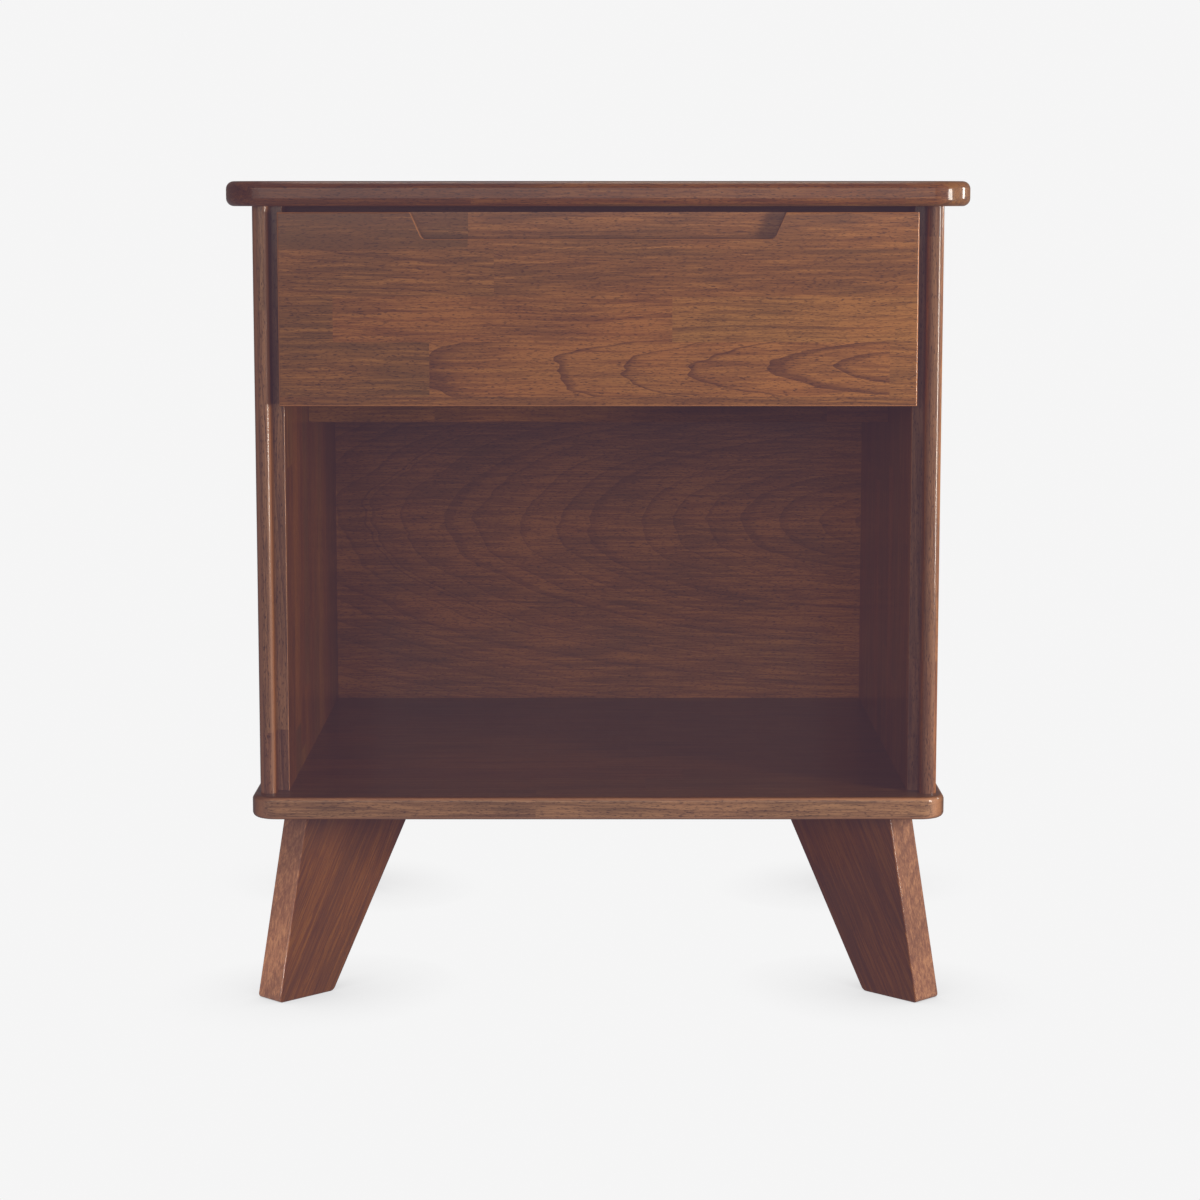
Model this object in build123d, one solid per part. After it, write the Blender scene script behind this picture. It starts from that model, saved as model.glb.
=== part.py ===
"""Side table with one drawer over an open shelf, on four splayed board legs.

Units are millimetres. +Z is up, the front faces -Y and +X is to the right of someone who
faces the table. The origin is on the floor under the middle of the table.
"""
from build123d import *
import math
import os

# ---- overall size -------------------------------------------------------------------------
table_width = 572.0
table_depth = 496.0
table_height = 645.0
clearance = 0.05  # a hole or slot is this much larger than its fastener, all round

# ---- top board ----------------------------------------------------------------------------
top_thickness = 19.0
top_corner_radius = 30.0
top_edge_radius = 6.0
top_overhang_front = 20.0
top_overhang_side = 20.0
top_overhang_back = 10.0

# ---- bottom shelf -------------------------------------------------------------------------
shelf_bottom = 150.0
shelf_thickness = 18.0
shelf_overhang_front = 16.0
shelf_overhang_side = 6.0
shelf_overhang_back = 6.0
shelf_corner_radius = 20.0
shelf_edge_radius = 4.0

# ---- side panels --------------------------------------------------------------------------
side_thickness = 22.0
lip_width = 13.0  # the proud rounded strip down the outside of the front edge
lip_radius = 6.0
front_rabbet_depth = 15.0  # the drawer front sits in this step
back_rabbet_depth = 7.0
back_rabbet_width = 8.0
side_arris_radius = 1.0

# ---- back panel and rails -----------------------------------------------------------------
back_thickness = 6.0
back_gap = 0.3
rail_thickness = 18.0
top_rail_width = 60.0
top_rail_setback = 40.0
cross_rail_setback = 204.0
cross_rail_bottom = 445.5
cross_rail_height = 27.0
rail_end_gap = 0.3

# ---- legs: flat tapered boards set on the diagonals -----------------------------------------
leg_thickness = 28.0
leg_angle = 45.0
leg_foot_x = 262.0  # middle of the outer edge, on the floor
leg_foot_y = 224.0
leg_foot_width = 56.0
leg_top_outer = 31.0  # how far the outer edge has moved in at the shelf
leg_top_inner = 148.0
leg_outer_toe_radius = 3.0
leg_inner_toe_radius = 6.0
leg_arris_radius = 1.5
tenon_thickness = 10.0
tenon_width = 26.0
tenon_in_leg = 20.0
tenon_in_shelf = 10.0
tenon_places = (62.0, 108.0)

# ---- drawer front and its finger pull -------------------------------------------------------
front_width = 492.0
front_bottom = 473.0
front_top = 621.5
front_thickness = 19.0
front_back_gap = 1.0
front_arris_radius = 1.2
pull_top_width = 288.0
pull_bottom_width = 270.0
pull_height = 20.5
pull_depth = 10.0
pull_corner_radius = 5.0
pull_arris_radius = 0.8
groove_width = 6.0
groove_depth = 8.0
groove_length = 252.0

# ---- drawer box -----------------------------------------------------------------------------
slide_space = 12.5
box_wall = 12.0
box_bottom = 479.0
box_top = 589.0
box_length = 400.0
panel_thickness = 6.0
panel_height = 6.0  # from the lower edge of the walls to the bottom panel
groove_in_wall = 6.0
box_arris_radius = 1.0

# ---- telescopic slides ------------------------------------------------------------------------
slide_length = 396.0
slide_setback = 16.0
slide_height = 535.0
steel = 1.2
outer_member = (45.0, 9.6)  # height and depth of each channel
middle_member = (35.0, 8.3)
inner_member = (26.0, 7.3)
middle_standoff = 2.5
bearing_depth = 5.0
bearing_length = 185.0
bearing_end_gap = 5.0
bearing_web_gap = 1.0
inner_bearing_offset = 1.5  # the inner strips lie this much further from the side panel

# ---- derived planes ---------------------------------------------------------------------------
case_front = -table_depth / 2 + top_overhang_front
case_back = table_depth / 2 - top_overhang_back
case_half = table_width / 2 - top_overhang_side
inside_half = case_half - side_thickness
shelf_top = shelf_bottom + shelf_thickness
top_underside = table_height - top_thickness
back_face = case_back - back_rabbet_depth  # front face of the back panel
front_back_face = case_front + front_rabbet_depth - front_back_gap
front_face = front_back_face - front_thickness
box_half = inside_half - slide_space
box_back = front_back_face + box_length
panel_bottom = box_bottom + panel_height
panel_top = panel_bottom + panel_thickness
slide_front = case_front + slide_setback
slide_back = slide_front + slide_length
top_rail_bottom = top_underside - rail_thickness
front_rail = (case_front + top_rail_setback, case_front + top_rail_setback + top_rail_width)
rear_rail = (back_face - top_rail_width, back_face)
cross_rail = (case_front + cross_rail_setback, case_front + cross_rail_setback + rail_thickness)


# ---- shared helpers -----------------------------------------------------------------------------
def block(x, y, z):
    """A box from three (low, high) ranges."""
    size = [high - low for low, high in (x, y, z)]
    middle = [(high + low) / 2 for low, high in (x, y, z)]
    return Pos(*middle) * Box(*size)


def rounded_board(width, depth, bottom, thickness, corner_radius, edge_radius, y_middle=0.0):
    """A board with rounded corners in plan and rounded upper and lower edges."""
    board = Pos(0, y_middle, bottom + thickness / 2) * Box(width, depth, thickness)
    board = fillet(board.edges().filter_by(Axis.Z), corner_radius)
    rims = board.faces().sort_by(Axis.Z)[0].edges() + board.faces().sort_by(Axis.Z)[-1].edges()
    return fillet(rims, edge_radius)


def across(shape):
    """The same shape on the other side of the table, left for right."""
    return mirror(shape, about=Plane.YZ)


def screw(head_diameter, head_height, shank_diameter, length):
    """A pan-head screw: the head stands on the XY plane and the shank goes down from it."""
    head = Cylinder(head_diameter / 2, head_height, align=(Align.CENTER, Align.CENTER, Align.MIN))
    head = fillet(head.edges().sort_by(Axis.Z)[-1], head_height * 0.4)
    shank_length = length - shank_diameter
    shank = Cylinder(shank_diameter / 2, shank_length, align=(Align.CENTER, Align.CENTER, Align.MAX))
    point = Pos(0, 0, -shank_length) * Cone(
        0.4, shank_diameter / 2, shank_diameter, align=(Align.CENTER, Align.CENTER, Align.MAX)
    )
    recess = Cylinder(head_diameter / 5, head_height * 0.5, align=(Align.CENTER, Align.CENTER, Align.MIN))
    return head + shank + point - Pos(0, 0, head_height * 0.5) * recess


def pin(diameter, length):
    """A round dowel or the hole for one, centred on the XY plane."""
    return Cylinder(diameter / 2, length)


def placed(shape, places):
    """A copy of the shape at each (point, direction), its own Z along the direction."""
    return [Plane(origin=point, z_dir=direction).location * shape for point, direction in places]


def screw_holes(places, shank_diameter, length):
    """Holes for screws with their heads at these places."""
    hole = Pos(0, 0, -length / 2) * pin(shank_diameter + 2 * clearance, length + 1)
    return placed(hole, places)


# ---- fastener sizes and places --------------------------------------------------------------------
top_screw = (8.0, 2.6, 4.0, 30.0)
case_screw = (9.0, 3.0, 5.0, 60.0)
slide_screw = (7.0, 0.9, 3.5, 15.0)
box_slide_screw = (7.0, 1.6, 3.5, 10.0)
front_screw = (8.0, 2.4, 4.0, 25.0)
back_screw = (6.0, 1.8, 3.0, 20.0)
panel_screw = (6.0, 1.8, 3.0, 20.0)
dowel_diameter = 8.0
dowel_length = 28.0
top_screw_xs = (-180, 0, 180)
case_screw_ys = (-170, 0, 170)
slide_screw_steps = (35.0, 163.0, 355.0)  # from the front end of the slide
front_screw_xs = (-150, 150)
front_screw_zs = (506, 562)
back_screw_zs = (190, 290, 395, 500, 600)
panel_screw_xs = (-150, 0, 150)
top_rail_dowel_steps = (-18, 18)
cross_rail_dowel_steps = (-7, 7)

rail_middles = [sum(front_rail) / 2, sum(rear_rail) / 2]
top_screw_places = [((x, y, top_rail_bottom), (0, 0, -1)) for y in rail_middles for x in top_screw_xs]

case_screw_x = case_half - side_thickness / 2
case_screw_places = [
    ((sign * case_screw_x, y, shelf_bottom + case_screw[1]), (0, 0, -1))
    for sign in (-1, 1)
    for y in case_screw_ys
]

slide_screw_ys = [slide_front + step for step in slide_screw_steps]
slide_screw_places = [
    ((sign * (inside_half - steel), y, slide_height), (-sign, 0, 0))
    for sign in (-1, 1)
    for y in slide_screw_ys
]
box_slide_screw_places = [
    ((sign * (box_half + steel), y, slide_height), (sign, 0, 0))
    for sign in (-1, 1)
    for y in slide_screw_ys
]
front_screw_places = [
    ((x, front_back_face + box_wall, z), (0, 1, 0)) for x in front_screw_xs for z in front_screw_zs
]
back_screw_x = inside_half + back_rabbet_width / 2
back_screw_places = [
    ((sign * back_screw_x, back_face + back_thickness, z), (0, 1, 0))
    for sign in (-1, 1)
    for z in back_screw_zs
]
panel_screw_places = [
    ((x, box_back - box_wall / 2, panel_bottom), (0, 0, -1)) for x in panel_screw_xs
]

top_rail_middle_z = top_underside - rail_thickness / 2
cross_rail_middle_z = cross_rail_bottom + cross_rail_height / 2
rail_dowel_yz = [(y + step, top_rail_middle_z) for y in rail_middles for step in top_rail_dowel_steps]
rail_dowel_yz += [(sum(cross_rail) / 2, cross_rail_middle_z + step) for step in cross_rail_dowel_steps]
dowel_places = [((sign * inside_half, y, z), (1, 0, 0)) for sign in (-1, 1) for y, z in rail_dowel_yz]
dowel_holes = placed(pin(dowel_diameter + 2 * clearance, dowel_length + 1), dowel_places)


# ---- the legs and their loose tenons ----------------------------------------------------------------
def leg_plane():
    """The plane of the front left leg: X runs in along the diagonal and Y is up."""
    angle = math.radians(leg_angle)
    along = (math.cos(angle), math.sin(angle), 0)
    normal = (math.sin(angle), -math.cos(angle), 0)
    return Plane(origin=(-leg_foot_x, -leg_foot_y, 0), x_dir=along, z_dir=normal)


def leg_tenon(gap=0.0):
    """The two loose tenons of the front left leg, or their slots when there is a gap."""
    height = tenon_in_leg + tenon_in_shelf + 2 * gap
    middle = shelf_bottom + (tenon_in_shelf - tenon_in_leg) / 2
    tenon = Box(tenon_width + 2 * gap, height, tenon_thickness + 2 * gap)
    return [leg_plane().location * Pos(along, middle, 0) * tenon for along in tenon_places]


def leg():
    """The front left leg, with rounded toes and softened long edges."""
    outline = Polyline(
        (0, 0), (leg_foot_width, 0), (leg_top_inner, shelf_bottom), (leg_top_outer, shelf_bottom), close=True
    )
    face = make_face(outline)
    outer_toe, inner_toe = face.vertices().sort_by(Axis.Y)[:2].sort_by(Axis.X)
    face = fillet(outer_toe, leg_outer_toe_radius)
    inner_toe = face.vertices().sort_by(Axis.X)[-2]
    face = fillet(inner_toe, leg_inner_toe_radius)
    board = extrude(face, leg_thickness / 2, both=True)
    below_top = [edge for edge in board.edges() if edge.center().Y < shelf_bottom - 1]
    long_edges = [edge for edge in below_top if abs(abs(edge.center().Z) - leg_thickness / 2) < 0.01]
    board = fillet(long_edges, leg_arris_radius)
    return leg_plane().location * board - leg_tenon(clearance)


def at_each_corner(shapes):
    """Front left shapes repeated at the front right, rear left and rear right corners."""
    fronts = shapes + [across(shape) for shape in shapes]
    return fronts + [mirror(shape, about=Plane.XZ) for shape in fronts]


# ---- the case -------------------------------------------------------------------------------------
def top_board():
    """The top, with blind holes for the screws that hold it down to the rails."""
    board = rounded_board(
        table_width, table_depth, top_underside, top_thickness, top_corner_radius, top_edge_radius
    )
    return board - screw_holes(top_screw_places, top_screw[2], top_screw[3])


def bottom_shelf():
    """The shelf board, slotted for the leg tenons and counterbored for the case screws."""
    depth = case_back + shelf_overhang_back - (case_front - shelf_overhang_front)
    middle = (case_back + shelf_overhang_back + case_front - shelf_overhang_front) / 2
    width = 2 * (case_half + shelf_overhang_side)
    board = rounded_board(
        width, depth, shelf_bottom, shelf_thickness, shelf_corner_radius, shelf_edge_radius, middle
    )
    counterbore = pin(case_screw[0] + 1, 2 * case_screw[1])
    counterbores = [Pos(x, y, shelf_bottom) * counterbore for (x, y, _), _ in case_screw_places]
    board -= at_each_corner(leg_tenon(clearance))
    return board - counterbores - screw_holes(case_screw_places, case_screw[2], case_screw[3])


def side_panel():
    """The left side: a proud rounded lip in front, a step for the drawer front, and a back rabbet."""
    height = (shelf_top, top_underside)
    panel = block((-case_half, -inside_half), (case_front, case_back), height)
    step_back = case_front + front_rabbet_depth
    panel -= block((-case_half + lip_width, -inside_half + 1), (case_front - 1, step_back), height)
    back_step = (-inside_half - back_rabbet_width, -inside_half + 1)
    panel -= block(back_step, (back_face, case_back + 1), height)
    upright = panel.edges().filter_by(Axis.Z)
    lip_edges = [edge for edge in upright if abs(edge.center().Y - case_front) < 0.01]
    panel = fillet(lip_edges, lip_radius)
    upright = panel.edges().filter_by(Axis.Z)
    inner_arris = [
        edge
        for edge in upright
        if abs(edge.center().X + inside_half) < 0.01 and edge.center().Y < step_back + 0.01
    ]
    panel = fillet(inner_arris, side_arris_radius)
    holes = screw_holes(slide_screw_places, slide_screw[2], slide_screw[3] + steel)
    holes += screw_holes(case_screw_places, case_screw[2], case_screw[3])
    holes += screw_holes(back_screw_places, back_screw[2], back_screw[3])
    return panel - holes - dowel_holes


def back_panel():
    """The veneered back, let into the rabbets of both sides and standing on the shelf."""
    half = inside_half + back_rabbet_width - back_gap
    panel = block((-half, half), (back_face, back_face + back_thickness), (shelf_top, top_underside))
    return panel - screw_holes(back_screw_places, back_screw[2], back_screw[3])


def rail(y, z):
    """A cross rail between the sides, with dowel holes in its ends."""
    half = inside_half - rail_end_gap
    return block((-half, half), y, z) - dowel_holes


def top_rail(y):
    """A flat rail under the top, drilled for the top screws."""
    board = rail(y, (top_rail_bottom, top_underside))
    return board - screw_holes(top_screw_places, top_screw[2], top_screw[3])


# ---- the telescopic slides --------------------------------------------------------------------------
def channel(back_x, height, depth, opening):
    """A steel channel along the drawer: its web is at back_x and its flanges point to the opening."""
    span = (slide_front, slide_back)
    low, high = slide_height - height / 2, slide_height + height / 2
    web = block(sorted((back_x, back_x + opening * steel)), span, (low, high))
    reach = sorted((back_x, back_x + opening * depth))
    flanges = [block(reach, span, (low, low + steel)), block(reach, span, (high - steel, high))]
    return web + flanges


def cabinet_member():
    """The left outer channel, screwed to the side panel."""
    member = channel(-inside_half, *outer_member, opening=1)
    return member - screw_holes(slide_screw_places, slide_screw[2], slide_screw[3])


def middle_slide():
    """The left middle channel, which runs half as far as the drawer."""
    return channel(-inside_half + middle_standoff, *middle_member, opening=1)


def drawer_member():
    """The left inner channel, screwed to the drawer side, its flanges facing out."""
    member = channel(-box_half, *inner_member, opening=-1)
    return member - screw_holes(box_slide_screw_places, box_slide_screw[2], box_slide_screw[3])


def slide_bearings():
    """Left bearing strips, fixed to the middle channel: rear ones outside it, front ones inside."""
    outer_gap = (middle_member[0] / 2, outer_member[0] / 2 - steel - 2 * clearance)
    inner_gap = (inner_member[0] / 2 + 2 * clearance, middle_member[0] / 2 - steel)
    outer_x = -inside_half + middle_standoff + bearing_web_gap
    inner_x = outer_x + inner_bearing_offset
    rear_end, front_end = slide_back - bearing_end_gap, slide_front + bearing_end_gap
    rear = (rear_end - bearing_length, rear_end)
    front = (front_end, front_end + bearing_length)
    strips = []
    for x, y, gap in ((outer_x, rear, outer_gap), (inner_x, front, inner_gap)):
        for sign in (-1, 1):
            z = sorted(slide_height + sign * edge for edge in gap)
            strips.append(block((x, x + bearing_depth), y, z))
    return strips


# ---- the drawer -------------------------------------------------------------------------------------
def pull_pocket():
    """The finger pull: a shallow tapered pocket open at the top, and a groove behind its lip."""
    ledge = front_top - pull_height
    spread = (pull_top_width - pull_bottom_width) / 2 * (pull_height + 5) / pull_height
    foot, mouth = pull_bottom_width / 2, pull_bottom_width / 2 + spread
    outline = Polyline(
        (-foot, ledge), (foot, ledge), (mouth, front_top + 5), (-mouth, front_top + 5), close=True
    )
    face = make_face(Plane.XZ * outline)
    face = fillet(face.vertices().group_by(Axis.Z)[0], pull_corner_radius)
    pocket = Pos(0, front_face + pull_depth, 0) * extrude(face, pull_depth + 5, dir=(0, -1, 0))
    groove = block(
        (-groove_length / 2, groove_length / 2),
        (front_face + pull_depth - groove_width, front_face + pull_depth),
        (ledge - groove_depth, ledge + 1),
    )
    groove = fillet(groove.edges().filter_by(Axis.Y).group_by(Axis.Z)[0], groove_width / 2)
    return pocket, groove


def drawer_front():
    """The show front, with softened edges and the finger pull cut in its top edge."""
    half = front_width / 2
    board = block((-half, half), (front_face, front_back_face), (front_bottom, front_top))
    face_edges = board.faces().sort_by(Axis.Y)[0].edges()
    board = fillet(face_edges, front_arris_radius)
    pocket, groove = pull_pocket()
    board -= pocket
    rim = [edge for edge in board.edges() if on_pull_rim(edge)]
    board = fillet(rim, pull_arris_radius)
    holes = screw_holes(front_screw_places, front_screw[2], front_screw[3])
    return board - groove - holes


def on_pull_rim(edge):
    """Whether an edge is where the finger pull's walls meet the front face."""
    middle = edge.center()
    in_face = abs(middle.Y - front_face) < 0.01
    inside = abs(middle.X) < pull_top_width / 2 and middle.Z < front_top - front_arris_radius
    return in_face and inside and middle.Z > front_top - pull_height - 1


def panel_groove(x, y):
    """The slot that the drawer bottom slides into."""
    return block(x, y, (panel_bottom - clearance, panel_top + clearance))


def drawer_side():
    """The left wall of the drawer box, grooved for the bottom."""
    board = block((-box_half, -box_half + box_wall), (front_back_face, box_back), (box_bottom, box_top))
    board = fillet(board.edges().filter_by(Axis.Y).group_by(Axis.Z)[-1], box_arris_radius)
    inner = -box_half + box_wall
    slot = panel_groove((inner - groove_in_wall, inner + 1), (front_back_face - 1, box_back + 1))
    return board - slot - screw_holes(box_slide_screw_places, box_slide_screw[2], box_slide_screw[3])


def drawer_box_front():
    """The front wall of the drawer box, screwed to the show front."""
    half = box_half - box_wall
    back = front_back_face + box_wall
    board = block((-half, half), (front_back_face, back), (box_bottom, box_top))
    board -= panel_groove((-half - 1, half + 1), (back - groove_in_wall, back + 1))
    return board - screw_holes(front_screw_places, front_screw[2], front_screw[3])


def drawer_back():
    """The back wall, which stands on the bottom panel."""
    half = box_half - box_wall
    board = block((-half, half), (box_back - box_wall, box_back), (panel_top, box_top))
    return board - screw_holes(panel_screw_places, panel_screw[2], panel_screw[3])


def drawer_bottom():
    """The bottom panel, in the grooves of three walls and screwed up into the back."""
    half = box_half - box_wall + groove_in_wall - back_gap
    front = front_back_face + box_wall - groove_in_wall + back_gap
    panel = block((-half, half), (front, box_back), (panel_bottom, panel_top))
    return panel - screw_holes(panel_screw_places, panel_screw[2], panel_screw[3])


# ---- write one file for each node -----------------------------------------------------------------
def save(name, shape):
    """Write a node: one shape, or a list of separate solids."""
    if isinstance(shape, list):
        shape = Compound(shape)
    export_step(shape, f"parts/{name}.step")


def save_pair(name, shape):
    """Write a left node and its right-hand mirror image."""
    others = [across(item) for item in shape] if isinstance(shape, list) else across(shape)
    save(f"{name}_left", shape)
    save(f"{name}_right", others)


os.makedirs("parts", exist_ok=True)

save("top_board", top_board())
save("bottom_shelf", bottom_shelf())
save_pair("side_panel", side_panel())
save("back_panel", back_panel())
save("top_rail_front", top_rail(front_rail))
save("top_rail_rear", top_rail(rear_rail))
save("under_drawer_rail", rail(cross_rail, (cross_rail_bottom, cross_rail_bottom + cross_rail_height)))

leg_names = ("leg_front_left", "leg_front_right", "leg_rear_left", "leg_rear_right")
for leg_name, leg_board in zip(leg_names, at_each_corner([leg()])):
    save(leg_name, leg_board)
save("leg_tenons", at_each_corner(leg_tenon()))

save_pair("slide_cabinet_member", cabinet_member())
save_pair("slide_middle_member", middle_slide())
save_pair("slide_drawer_member", drawer_member())
save_pair("slide_bearings", slide_bearings())

save("drawer_front", drawer_front())
save_pair("drawer_side", drawer_side())
save("drawer_box_front", drawer_box_front())
save("drawer_back", drawer_back())
save("drawer_bottom", drawer_bottom())

save("rail_dowels", placed(pin(dowel_diameter, dowel_length), dowel_places))
save("top_screws", placed(screw(*top_screw), top_screw_places))
save("case_screws", placed(screw(*case_screw), case_screw_places))
save("back_panel_screws", placed(screw(*back_screw), back_screw_places))
save("slide_cabinet_screws", placed(screw(*slide_screw), slide_screw_places))
save("slide_drawer_screws", placed(screw(*box_slide_screw), box_slide_screw_places))
save("drawer_front_screws", placed(screw(*front_screw), front_screw_places))
save("drawer_bottom_screws", placed(screw(*panel_screw), panel_screw_places))
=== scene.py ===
# %% [markdown]
# # A side table in stained walnut
# This lesson finishes a small side table: a rounded top, two sides, a drawer with a routed finger
# pull, an open shelf and four splayed legs. The joiner's drawing is already exact, so every board
# comes in as it was drawn and keeps its place. Our work is what a polisher and a photographer do:
# the wood, the lacquer, the metal fittings, the light and the camera.

# %% Open the joiner's model
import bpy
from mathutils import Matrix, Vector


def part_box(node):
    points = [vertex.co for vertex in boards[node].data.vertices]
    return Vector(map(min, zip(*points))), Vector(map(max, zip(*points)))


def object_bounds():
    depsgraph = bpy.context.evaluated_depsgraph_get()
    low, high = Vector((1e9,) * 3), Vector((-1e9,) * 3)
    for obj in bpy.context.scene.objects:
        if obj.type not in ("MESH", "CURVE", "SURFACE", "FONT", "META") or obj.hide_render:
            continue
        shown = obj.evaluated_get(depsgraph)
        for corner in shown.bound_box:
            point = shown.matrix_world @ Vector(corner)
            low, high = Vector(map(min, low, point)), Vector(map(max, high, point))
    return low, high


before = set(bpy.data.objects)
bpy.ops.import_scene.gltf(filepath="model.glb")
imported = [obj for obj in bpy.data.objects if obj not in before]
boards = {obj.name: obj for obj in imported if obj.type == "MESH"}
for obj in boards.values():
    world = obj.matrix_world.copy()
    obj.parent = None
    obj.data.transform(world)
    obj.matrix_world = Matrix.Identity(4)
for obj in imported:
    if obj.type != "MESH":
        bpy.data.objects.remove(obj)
cad_bounds = [list(corner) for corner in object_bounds()]

import math

import bmesh
import bpy
from mathutils import Vector

MM = 0.001  # the scene is in metres, and a joiner thinks in millimetres
table_low, table_high = (Vector(corner) for corner in cad_bounds)
print("table", [round(side / MM) for side in table_high - table_low], "mm", len(boards), "pieces")

# %% [markdown]
# ## Two small tools
# A finish is a tree of shader nodes. We could place them by hand, but written out they can be read,
# repeated and measured. One function adds a node with its settings and links. Colours are written
# as the hex values that a paint chart gives, and another function makes them linear, because the
# light in the scene adds up in linear values.

# %% Colour and node helpers
def linear(hex_colour):
    """A hex colour from a chart as linear red, green, blue and full alpha."""
    channels = [int(hex_colour[start:start + 2], 16) / 255 for start in (1, 3, 5)]
    return [c / 12.92 if c <= 0.04045 else ((c + 0.055) / 1.055) ** 2.4 for c in channels] + [1.0]


def add(tree, kind, inputs=None, stops=None, **settings):
    """Add a node. inputs maps a socket to a value, a node or a socket; stops fill a colour ramp."""
    node = tree.nodes.new(kind)
    for name, value in settings.items():
        setattr(node, name, value)
    for socket, value in (inputs or {}).items():
        if isinstance(value, bpy.types.Node):
            value = value.outputs[0]
        if isinstance(value, bpy.types.NodeSocket):
            tree.links.new(value, node.inputs[socket])
        else:
            node.inputs[socket].default_value = value
    for number, (place, colour) in enumerate(stops or ()):
        ramp = node.color_ramp.elements
        stop = ramp[number] if number < 2 else ramp.new(place)
        stop.position = place
        stop.color = linear(colour)
    return node


def new_group(name, takes, gives):
    """An empty node group. takes and gives map socket names to their kinds."""
    group = bpy.data.node_groups.new(name, "ShaderNodeTree")
    for side, sockets in (("INPUT", takes), ("OUTPUT", gives)):
        for socket, kind in sockets.items():
            group.interface.new_socket(socket, in_out=side, socket_type="NodeSocket" + kind)
    return group, add(group, "NodeGroupInput"), add(group, "NodeGroupOutput")


print("mid walnut", [round(c, 3) for c in linear("#86552f")[:3]])

# %% [markdown]
# ## How the wood grew
# Walnut is a medium brown hardwood with open pores. A board shows three things: growth rings, which
# are arches where the saw ran along the log and straight lines where it ran across them; a fine
# streaky fibre; and short dark dashes, which are pores cut lengthwise. A picture of wood would show
# the same figure on every side and would smear over the ends. So the figure here is solid: rings
# round the middle of a log, warped a little as a tree is, and each board cuts its own piece from it.
# The cut of a piece is three numbers: how far across the board the log's middle lay, how deep under
# it, and how much the depth changes along the grain. A shallow middle that gets deeper gives arches.
#
# Real pores are about 0.2 mm wide. That is too fine to show from two metres, so they are drawn
# about half a millimetre wide.

# %% The figure of the wood, in millimetres along, across and through the grain
warp_lengths, warp_reach = (190.0, 40.0, 40.0), (0.0, 10.0, 10.0)
ripple_lengths, ripple_reach = (30.0, 8.0, 8.0), (0.0, 2.0, 2.0)
fibre_lengths = (45.0, 1.1, 1.1)
streak_lengths = (80.0, 3.0, 3.0)
pore_lengths = (4.0, 0.55, 0.55)
cloud_lengths = (70.0, 26.0, 26.0)
# Each pattern's lengths, its detail and its share of the tone. The last one is also the cloud.
tone_patterns = ((fibre_lengths, 2.0, 1.10), (streak_lengths, 2.0, 1.00), (cloud_lengths, 1.0, 0.55))
away_from_twin = (900.0, 370.0, 110.0)  # how far apart two boards lay whose seeds differ by one
band_scale, band_share = 0.6, 0.45  # runs of paler and darker years, and their share of the tone
uneven_years = 1.6  # how far these runs push the rings together and apart
mean_tone, autumn_fall = 0.55, -0.10  # the middle of the tone, and how it falls through a year
ring_line_limits = (0.70, 0.98)  # the part of a year in which the dark line forms
pore_limits = (0.56, 0.67)  # the noise where a pore begins, and where it is all pore
noise_middle = (0.5, 0.5, 0.5)


def per(lengths):
    """How many times a pattern repeats in each millimetre."""
    return [1 / length for length in lengths]


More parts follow.
